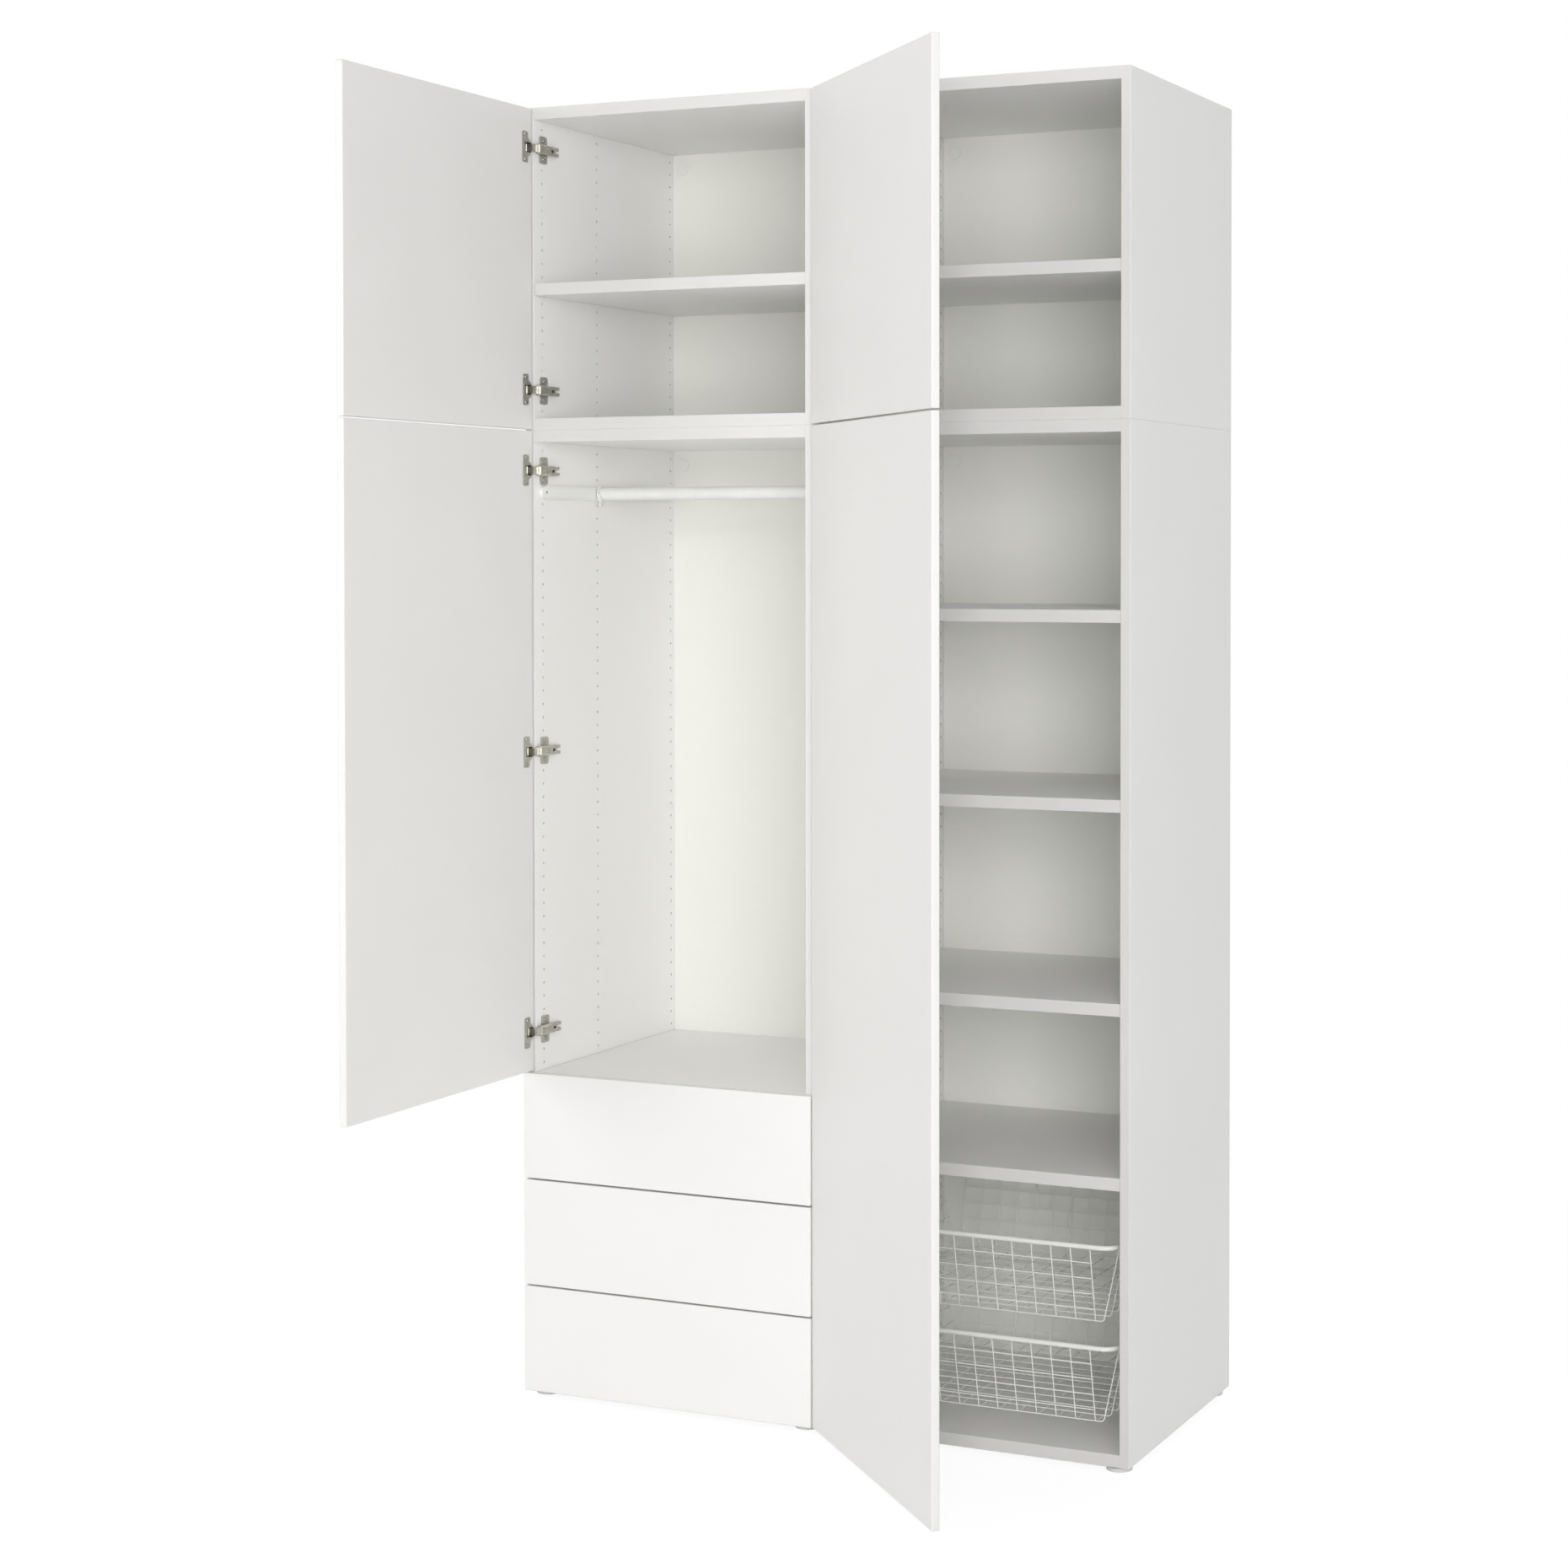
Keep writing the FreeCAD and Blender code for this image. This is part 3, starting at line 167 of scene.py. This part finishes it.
def painted_back():
    """Painted fibreboard: warm grey-green white, matt, with faint fibres across the sheet."""
    m = Nodes("painted_back")
    fibre = m.noise(60.0, 4.0, m.stretched((1.0, 1.0, 9.0)), 0.6)
    m.set(Base_Color=m.mix(m.even(fibre), (0.918, 0.920, 0.870), (0.938, 0.940, 0.890)))
    m.set(Roughness=m.even(fibre, 0.55, 0.7))
    m.set(Normal=m.bump(m.noise(900.0, 2.0), 0.0001))
    return m.material


def plated_steel():
    """Nickel-plated pressed steel: drawn lines along the arm and painted shade in the creases."""
    m = Nodes("plated_steel")
    drawn = m.noise(220.0, 3.0, m.stretched((6.0, 1.0, 6.0)))
    stain = m.noise(90.0, 3.0)
    bright = m.mix(m.even(stain), (0.50, 0.49, 0.44), (0.64, 0.63, 0.58))
    # Painted shade in the creases: near black where faces stand close.
    steel_crease_shade = m.mix(stain, (0.10, 0.10, 0.085), (0.16, 0.155, 0.135))
    m.set(Base_Color=m.mix(m.open_to(0.006), steel_crease_shade, bright), Metallic=1.0)
    m.set(Roughness=m.even(drawn, 0.24, 0.42))
    m.set(Normal=m.bump(drawn, 0.00008, normal=m.soft_edges(0.0005)))
    return m.material


# Painted shade in the creases of powder coat and plastic: its colours and how far it reaches.
CREASE_SHADE_DARK, CREASE_SHADE_LIGHT = (0.68, 0.68, 0.65), (0.74, 0.74, 0.71)
CREASE_REACH = 0.005


def with_crease_shade(m, cloud, dark, light):
    """A clouded pale colour with painted shade in the creases."""
    skin = m.mix(m.even(cloud), dark, light)
    # Painted shade in the creases.
    shade_in_creases = m.mix(cloud, CREASE_SHADE_DARK, CREASE_SHADE_LIGHT)
    return m.mix(m.open_to(CREASE_REACH), shade_in_creases, skin)


def powder_coat(name, dark, light):
    """White powder coat: a fine orange peel over wire and sheet, with painted shade in the creases."""
    m = Nodes(name)
    cloud = m.noise(40.0, 3.0)
    m.set(Base_Color=with_crease_shade(m, cloud, dark, light))
    m.set(Roughness=m.even(cloud, 0.32, 0.42))
    m.set(Normal=m.bump(m.noise(1400.0, 2.0), 0.00006))
    return m.material


def moulded(name, dark, light):
    """Matt moulded plastic with a spark-eroded grain and painted shade in the creases."""
    m = Nodes(name)
    grain = m.noise(2200.0, 2.0)
    m.set(Base_Color=with_crease_shade(m, m.noise(25.0, 3.0), dark, light))
    m.set(Roughness=m.even(grain, 0.4, 0.55))
    m.set(Normal=m.bump(grain, 0.00008, normal=m.soft_edges(0.0006)))
    return m.material


def recess_shade():
    """Painted shade for the hollow of a screw's cross recess: near black, a little uneven."""
    m = Nodes("recess_shade")
    stain = m.noise(900.0, 2.0)
    # Painted shade: near black.
    m.set(Base_Color=m.mix(stain, (0.030, 0.029, 0.026), (0.060, 0.058, 0.052)))
    m.set(Roughness=m.even(stain, 0.5, 0.7))
    return m.material


def beech():
    """Raw beech dowel wood, with its grain along the dowels."""
    m = Nodes("beech")
    grain = m.noise(500.0, 4.0, m.stretched((0.08, 1.0, 1.0)))
    m.set(Base_Color=m.mix(m.even(grain), (0.50, 0.33, 0.19), (0.68, 0.50, 0.32)))
    m.set(Roughness=m.even(grain, 0.5, 0.7))
    m.set(Normal=m.bump(grain, 0.0001))
    return m.material


# The boards' front edges are painted darker than their faces, as painted shade.
board = foil("foil_board", (0.918, 0.914, 0.900), (0.936, 0.932, 0.918), roughness=0.42, grain=1100.0,
             grain_depth=0.00010, edge_shade_colours=((0.710, 0.705, 0.692), (0.728, 0.723, 0.710)))
# The fronts are the same white foil as the boards, painted darker as painted shade, since they face the
# lamps.
fronts = foil("foil_fronts", (0.822, 0.816, 0.804), (0.840, 0.834, 0.822), roughness=0.46, grain=800.0,
              grain_depth=0.00014)
backs = painted_back()
steel = plated_steel()
wire_white = powder_coat("powder_wire", (0.84, 0.84, 0.82), (0.88, 0.88, 0.86))
basket_white = powder_coat("powder_basket", (0.89, 0.89, 0.865), (0.92, 0.92, 0.895))
plastic = moulded("moulded_white", (0.90, 0.90, 0.88), (0.93, 0.93, 0.91))
# A darker copy of the white plastic for the feet: painted shade under the carcass.
shaded_foot_plastic = moulded("moulded_feet_shaded", (0.71, 0.71, 0.695), (0.76, 0.76, 0.745))
dowel_wood = beech()
cross_recess = recess_shade()

SLOT_LOOKS = {
    "white_board": board, "white_front": fronts, "back_board": backs, "nickel_steel": steel,
    "white_metal": wire_white, "white_plastic": plastic, "beech": dowel_wood,
}
for entry in frame["record"]["subparts"]:
    mesh = frame["nodes"][entry["node"]].data
    mesh.materials.clear()
    # The feet take the darker copy of the white plastic, painted shade.
    mesh.materials.append(shaded_foot_plastic if entry["node"] == "feet" else SLOT_LOOKS[entry["material_slot"]])


def add_mesh(name, mesh, body, slot, *nodes):
    """A piece of the look: rides on a body and may stand for CAD nodes. Its slot is not used."""
    piece = bpy.data.objects.new(name, mesh)
    bpy.context.scene.collection.objects.link(piece)
    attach(piece, body)
    if nodes:
        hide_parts(*nodes)


BEND_STEPS = 5


def bent(points, radius):
    """A polyline whose inner corners are rounded by arcs."""
    points = [Vector(p) for p in points]
    out = [points[0]]
    for before, corner, after in zip(points, points[1:], points[2:]):
        back = (before - corner).normalized()
        onward = (after - corner).normalized()
        turn = math.pi - back.angle(onward)
        reach = radius * math.tan(turn / 2)
        start, end = corner + back * reach, corner + onward * reach
        middle = (back + onward).normalized()
        centre = corner + middle * (radius / math.cos(turn / 2))
        for i in range(BEND_STEPS + 1):
            ray = (start - centre).slerp(end - centre, i / BEND_STEPS)
            out.append(centre + ray.normalized() * radius)
    return out + [points[-1]]


def wires_mesh(name, runs, material):
    """Round wires along polylines, each run (points, radius, closed), as one mesh."""
    curve = bpy.data.curves.new(name, "CURVE")
    curve.dimensions = "3D"
    curve.bevel_depth = 1.0
    curve.bevel_resolution = 2
    curve.use_fill_caps = True
    for points, radius, closed in runs:
        spline = curve.splines.new("POLY")
        spline.points.add(len(points) - 1)
        for target, point in zip(spline.points, points):
            target.co = (*point, 1.0)
            target.radius = radius
        spline.use_cyclic_u = closed
    holder = bpy.data.objects.new(name, curve)
    bpy.context.scene.collection.objects.link(holder)
    depsgraph = bpy.context.evaluated_depsgraph_get()
    mesh = bpy.data.meshes.new_from_object(holder.evaluated_get(depsgraph))
    bpy.data.objects.remove(holder)
    bpy.data.curves.remove(curve)
    mesh.name = name
    mesh.materials.clear()
    mesh.materials.append(material)
    for polygon in mesh.polygons:
        polygon.use_smooth = True
    return mesh


# Wire baskets: a round rim, wires bent down the walls and under the floor, and level rows along the walls.
BASKET_MIDDLE = Vector((0.300, 0.280, 0.0))
BASKET_RIMS = {"lower": 0.211, "upper": 0.386}
HALF_WIDTH, HALF_DEPTH, BASKET_HEIGHT = 0.270, 0.250, 0.142
RIM, RIM_CORNER, RIM_CORNER_STEPS, WIRE = 0.0045, 0.030, 8, 0.0011
TAPER, WIRE_PITCH, ROW_FIRST, ROW_PITCH = 0.0295, 0.0367, 0.0305, 0.029
FRONT_WIRES, SIDE_WIRES, ROWS, FLOOR_BEND = 13, 13, 4, 0.007
SIDE_PITCH = 2 * (HALF_DEPTH - RIM - TAPER + WIRE) / (SIDE_WIRES - 1)
# The wires start inside the rim, the second layer of the floor lies on the first, and the rows lie inside
# the upright wires.
WIRE_START, LAYER_LIFT, ROW_INSET = 0.6 * RIM, 1.7 * WIRE, 1.5 * WIRE


def steps_about_zero(count, pitch):
    return [(i - (count - 1) / 2) * pitch for i in range(count)]


def basket_runs():
    """The wires of one basket, about its middle with its rim's top at zero."""
    rim_x, rim_y, bend = HALF_WIDTH - RIM, HALF_DEPTH - RIM, RIM_CORNER - RIM
    rim = []
    for quarter, (sx, sy) in enumerate(((1, 1), (-1, 1), (-1, -1), (1, -1))):
        centre = Vector((sx * (rim_x - bend), sy * (rim_y - bend), -RIM))
        for i in range(RIM_CORNER_STEPS + 1):
            angle = math.pi / 2 * (quarter + i / RIM_CORNER_STEPS)
            rim.append(centre + Vector((math.cos(angle), math.sin(angle), 0)) * bend)
    runs = [(rim, RIM, True)]
    floor_z = WIRE - BASKET_HEIGHT
    lean = math.hypot(TAPER, BASKET_HEIGHT - RIM)

    def wall(distance, half):
        """How far out and how low the wall's wires are, at a distance down from the rim's axis."""
        share = distance / lean
        return half - RIM - TAPER * share, -RIM - (BASKET_HEIGHT - RIM) * share

    for half, across, axis, lift in ((HALF_DEPTH, steps_about_zero(FRONT_WIRES, WIRE_PITCH), 0, 0.0),
                                     (HALF_WIDTH, steps_about_zero(SIDE_WIRES, SIDE_PITCH), 1, LAYER_LIFT)):
        top, top_z = wall(WIRE_START, half)
        foot, _ = wall(lean, half)

        def place(along, out, z):
            return (along, out, z) if axis == 0 else (out, along, z)

        for along in across:
            corners = [place(along, -top, top_z), place(along, -foot, floor_z + lift),
                       place(along, foot, floor_z + lift), place(along, top, top_z)]
            runs.append((bent(corners, FLOOR_BEND), WIRE, False))
        row_ends = (across[0] - WIRE, across[-1] + WIRE)
        for i in range(ROWS):
            out, z = wall(ROW_FIRST + i * ROW_PITCH, half)
            for side in (-1, 1):
                runs.append(([place(end, side * (out - ROW_INSET), z) for end in row_ends], WIRE, False))
    return runs


RUNS = basket_runs()
for name, rim_z in BASKET_RIMS.items():
    middle = BASKET_MIDDLE + Vector((0, 0, rim_z))
    runs = [([middle + Vector(p) for p in points], radius, closed) for points, radius, closed in RUNS]
    mesh = wires_mesh(f"{name}_basket_wires", runs, basket_white)
    add_mesh(f"{name}_basket_wires", mesh, f"{name}_basket_body", "white_metal", f"{name}_basket")


def world_corners(node):
    piece = frame["nodes"][node]
    return [piece.matrix_world @ vertex.co for vertex in piece.data.vertices]


def middle_of(points):
    return sum(points, Vector()) / len(points)


KEY_DECIMALS = 6


def small_solids(node, largest):
    """The solids of a CAD node that are smaller than a size, each as a list of its corners."""
    owner = {}

    def root(key):
        while owner[key] != key:
            key = owner[key]
        return key

    keys = [tuple(round(c, KEY_DECIMALS) for c in corner) for corner in world_corners(node)]
    for key in keys:
        owner[key] = key
    for edge in frame["nodes"][node].data.edges:
        first, second = (root(keys[i]) for i in edge.vertices)
        owner[first] = second
    solids = {}
    for key in owner:
        solids.setdefault(root(key), []).append(Vector(key))
    spans = [(points, max(max(p[i] for p in points) - min(p[i] for p in points) for i in range(3)))
             for points in solids.values()]
    return [points for points, span in spans if span < largest]


def head_middles(node, outward, longest):
    """The middles of the outer faces of a node's screw heads, on screws shorter than a length."""
    middles = []
    for points in small_solids(node, longest):
        top = max(p.dot(outward) for p in points)
        middles.append(middle_of([p for p in points if p.dot(outward) > top - HEAD_SLACK]))
    return middles


def prisms_mesh(name, outline, middles, outward, low, high, material):
    """Copies of a flat outline (across, up), each drawn out from low to high along a direction."""
    upward = Vector((0, 0, 1))
    across = upward.cross(outward)
    count = len(outline)
    corners, faces = [], []
    for middle in middles:
        base = len(corners)
        for height in (low, high):
            corners += [middle + outward * height + across * a + upward * b for a, b in outline]
        faces.append([base + i for i in reversed(range(count))])
        faces.append([base + count + i for i in range(count)])
        for i in range(count):
            j = (i + 1) % count
            faces.append([base + i, base + j, base + count + j, base + count + i])
    mesh = bpy.data.meshes.new(name)
    mesh.from_pydata(corners, [], faces)
    mesh.materials.append(material)
    return mesh


def cross_outline(reach, width):
    """A plus sign, counter-clockwise."""
    arm = [(reach, -width), (reach, width), (width, width)]
    turns = [(1, 0), (0, 1), (-1, 0), (0, -1)]
    return [(a * c - b * d, a * d + b * c) for c, d in turns for a, b in arm]


def round_outline(radius, sides):
    angles = [2 * math.pi * i / sides for i in range(sides)]
    return [(radius * math.cos(angle), radius * math.sin(angle)) for angle in angles]


def add_crosses(name, middles, outward, body, outline):
    """Crosses of painted shade for the screws' cross recesses, a hair above the screw heads that carry
    them.
    """
    mesh = prisms_mesh(name, outline, middles, outward, -CROSS_DEPTH, CROSS_LIFT, cross_recess)
    add_mesh(name, mesh, body, "nickel_steel")


def door_inside(door, cups):
    """The direction that a door's inner face looks: the side of the door that its hinge cups are on."""
    panel = frame["nodes"][door]
    largest = max(panel.data.polygons, key=lambda polygon: polygon.area)
    normal = (panel.matrix_world.to_3x3() @ largest.normal).normalized()
    toward_cups = middle_of(world_corners(cups)) - middle_of(world_corners(door))
    return normal if toward_cups.dot(normal) > 0 else -normal


# Cup screws share their node with the larger cups; the plate screws have a node of their own.
CUP_SCREW_SPAN, PLATE_SCREW_SPAN, HEAD_SLACK = 0.013, 0.03, 0.0001
CROSS_LIFT, CROSS_DEPTH = 0.00005, 0.0006
CROSS = cross_outline(0.0019, 0.0004)
for level in ("lower", "upper"):
    for column in ("left", "right"):
        door, cups = f"{level}_{column}_door", f"{level}_{column}_hinge_cups"
        inside = door_inside(door, cups)
        middles = head_middles(cups, inside, CUP_SCREW_SPAN)
        add_crosses(f"{door}_screw_crosses", middles, inside, f"{door}_body", CROSS)
rightward = Vector((1, 0, 0))
plate_heads = head_middles("hinge_plate_screws", rightward, PLATE_SCREW_SPAN)
add_crosses("plate_screw_crosses", plate_heads, rightward, "carcass", CROSS)

# One white screw in the front end of each rail strip.
STRIP_FACES = {"left": (-0.574, rightward), "right": (-0.026, -rightward)}
STRIP_SCREW_Y, RAIL_Z = 0.047, 1.695
STRIP_HEAD = round_outline(0.0042, 32)
STRIP_HEAD_LOW, STRIP_HEAD_HIGH = -0.001, 0.0006
STRIP_CROSS = cross_outline(0.0026, 0.0007)
for side, (face_x, outward) in STRIP_FACES.items():
    middle = Vector((face_x, STRIP_SCREW_Y, RAIL_Z))
    name = f"{side}_strip_screw"
    mesh = prisms_mesh(name, STRIP_HEAD, [middle], outward, STRIP_HEAD_LOW, STRIP_HEAD_HIGH, wire_white)
    add_mesh(name, mesh, "carcass", "white_metal")
    add_crosses(f"{name}_cross", [middle + outward * STRIP_HEAD_HIGH], outward, "carcass", STRIP_CROSS)


def seen_rays(tree):
    """A factor of one for camera and glossy rays and zero for other light."""
    path = tree.nodes.new("ShaderNodeLightPath")
    seen = tree.nodes.new("ShaderNodeMath")
    seen.operation = "MAXIMUM"
    tree.links.new(path.outputs["Is Camera Ray"], seen.inputs[0])
    tree.links.new(path.outputs["Is Glossy Ray"], seen.inputs[1])
    return seen.outputs[0]


def surround():
    """A world that is white to the eye and lights the object at the ambient level."""
    world = bpy.data.worlds.new("surround")
    world.use_nodes = True
    tree = world.node_tree
    background = next(n for n in tree.nodes if n.type == "BACKGROUND")
    background.inputs["Color"].default_value = (1.0, 1.0, 1.0, 1.0)
    strength = tree.nodes.new("ShaderNodeMapRange")
    strength.inputs["To Min"].default_value = AMBIENT
    strength.inputs["To Max"].default_value = 1.0
    tree.links.new(seen_rays(tree), strength.inputs["Value"])
    tree.links.new(strength.outputs["Result"], background.inputs["Strength"])
    return world


def floor_look():
    """White to the camera and to reflections, a little darker in the object's shadow.

    To other light it is a plain pale floor.
    """
    material = bpy.data.materials.new("floor")
    material.use_nodes = True
    tree = material.node_tree
    tree.nodes.clear()
    output = tree.nodes.new("ShaderNodeOutputMaterial")
    plain = tree.nodes.new("ShaderNodeBsdfDiffuse")
    plain.inputs["Color"].default_value = FLOOR_COLOUR
    shadowed = tree.nodes.new("ShaderNodeBsdfDiffuse")
    shadowed.inputs["Color"].default_value = (FLOOR_SHADOW, FLOOR_SHADOW, FLOOR_SHADOW, 1.0)
    glow = tree.nodes.new("ShaderNodeEmission")
    glow.inputs["Strength"].default_value = 1.0 - FLOOR_LIT * FLOOR_SHADOW
    shown = tree.nodes.new("ShaderNodeAddShader")
    tree.links.new(shadowed.outputs[0], shown.inputs[0])
    tree.links.new(glow.outputs[0], shown.inputs[1])
    place = tree.nodes.new("ShaderNodeTexCoord")
    away = tree.nodes.new("ShaderNodeVectorMath")
    away.operation = "LENGTH"
    tree.links.new(place.outputs["Object"], away.inputs[0])
    fade = tree.nodes.new("ShaderNodeMapRange")
    fade.inputs["From Min"].default_value = FADE_START
    fade.inputs["From Max"].default_value = FADE_END
    tree.links.new(away.outputs["Value"], fade.inputs["Value"])
    white = tree.nodes.new("ShaderNodeEmission")
    faded = tree.nodes.new("ShaderNodeMixShader")
    tree.links.new(fade.outputs["Result"], faded.inputs[0])
    tree.links.new(shown.outputs[0], faded.inputs[1])
    tree.links.new(white.outputs[0], faded.inputs[2])
    mix = tree.nodes.new("ShaderNodeMixShader")
    tree.links.new(seen_rays(tree), mix.inputs[0])
    tree.links.new(plain.outputs[0], mix.inputs[1])
    tree.links.new(faded.outputs[0], mix.inputs[2])
    tree.links.new(mix.outputs[0], output.inputs["Surface"])
    return material


def add_floor():
    mesh = bpy.data.meshes.new("floor")
    corners = [(x * FLOOR_HALF, y * FLOOR_HALF, 0) for x, y in ((-1, -1), (1, -1), (1, 1), (-1, 1))]
    mesh.from_pydata(corners, [], [(0, 1, 2, 3)])
    mesh.materials.append(floor_look())
    floor = bpy.data.objects.new("floor", mesh)
    bpy.context.scene.collection.objects.link(floor)


def soft_box(name, place, aim, size, power):
    """A square lamp that the camera doesn't see."""
    light = bpy.data.lights.new(name, "AREA")
    light.shape = "SQUARE"
    light.size = size
    light.energy = power
    lamp = bpy.data.objects.new(name, light)
    lamp.location = place
    lamp.visible_camera = False
    lamp.rotation_euler = (Vector(aim) - Vector(place)).to_track_quat("-Z", "Y").to_euler()
    bpy.context.scene.collection.objects.link(lamp)


def camera():
    """The photograph's camera, solved from the edges of the frames."""
    data = bpy.data.cameras.new("camera")
    data.sensor_width = SENSOR_MM
    data.lens = FOCAL_PX / IMAGE_PX * SENSOR_MM
    data.shift_x = (IMAGE_PX / 2 - PRINCIPAL[0]) / IMAGE_PX
    data.shift_y = (PRINCIPAL[1] - IMAGE_PX / 2) / IMAGE_PX
    data.clip_end = VIEW_END
    eye = bpy.data.objects.new("camera", data)
    eye.location = EYE
    eye.rotation_euler = (math.pi / 2 + PITCH, 0.0, YAW)
    bpy.context.scene.collection.objects.link(eye)
    bpy.context.scene.camera = eye


# Studio: a white surround, a pale floor that fades to white round the object, and large soft boxes.
AMBIENT = 0.5
FLOOR_COLOUR = (0.78, 0.78, 0.775, 1.0)
FLOOR_HALF, FADE_START, FADE_END = 60.0, 1.4, 2.6
# To the camera the floor is a weak paint, which shows the shadow, over a glow that brings the open floor to
# about white: the paint's colour, and the share of full light that the open floor is taken to get.
FLOOR_SHADOW, FLOOR_LIT = 0.16, 0.6
# Name, place, aim, size and power in watts.
LAMPS = (
    ("key", (-4.0, -5.0, 2.2), (0.0, 0.0, 1.2), 4.0, 93.0),
    ("front", (3.2, -5.6, 1.7), (0.2, 0.0, 1.1), 3.0, 189.0),
    ("high", (2.6, -5.4, 3.6), (0.2, 0.0, 1.2), 2.0, 16.0),
    ("top", (0.0, -3.5, 6.0), (0.0, 0.0, 1.0), 4.0, 9.0),
    ("bounce", (1.7, -2.6, 0.06), (0.3, 0.3, 1.6), 2.0, 2.0),
    ("rear", (-2.5, 5.5, 3.0), (0.0, 0.5, 1.2), 4.0, 110.0),
)
bpy.context.scene.view_settings.view_transform = "Standard"
bpy.context.scene.world = surround()
add_floor()
for lamp in LAMPS:
    soft_box(*lamp)

# The photograph is square; its camera's values are in its pixels.
IMAGE_PX = 1860
FOCAL_PX = 3452.262
PRINCIPAL = (1099.077, 725.717)
EYE = (2.299463, -4.654294, 1.580019)
YAW, PITCH = math.radians(24.002704), -0.02
SENSOR_MM, VIEW_END = 36.0, 200.0
camera()
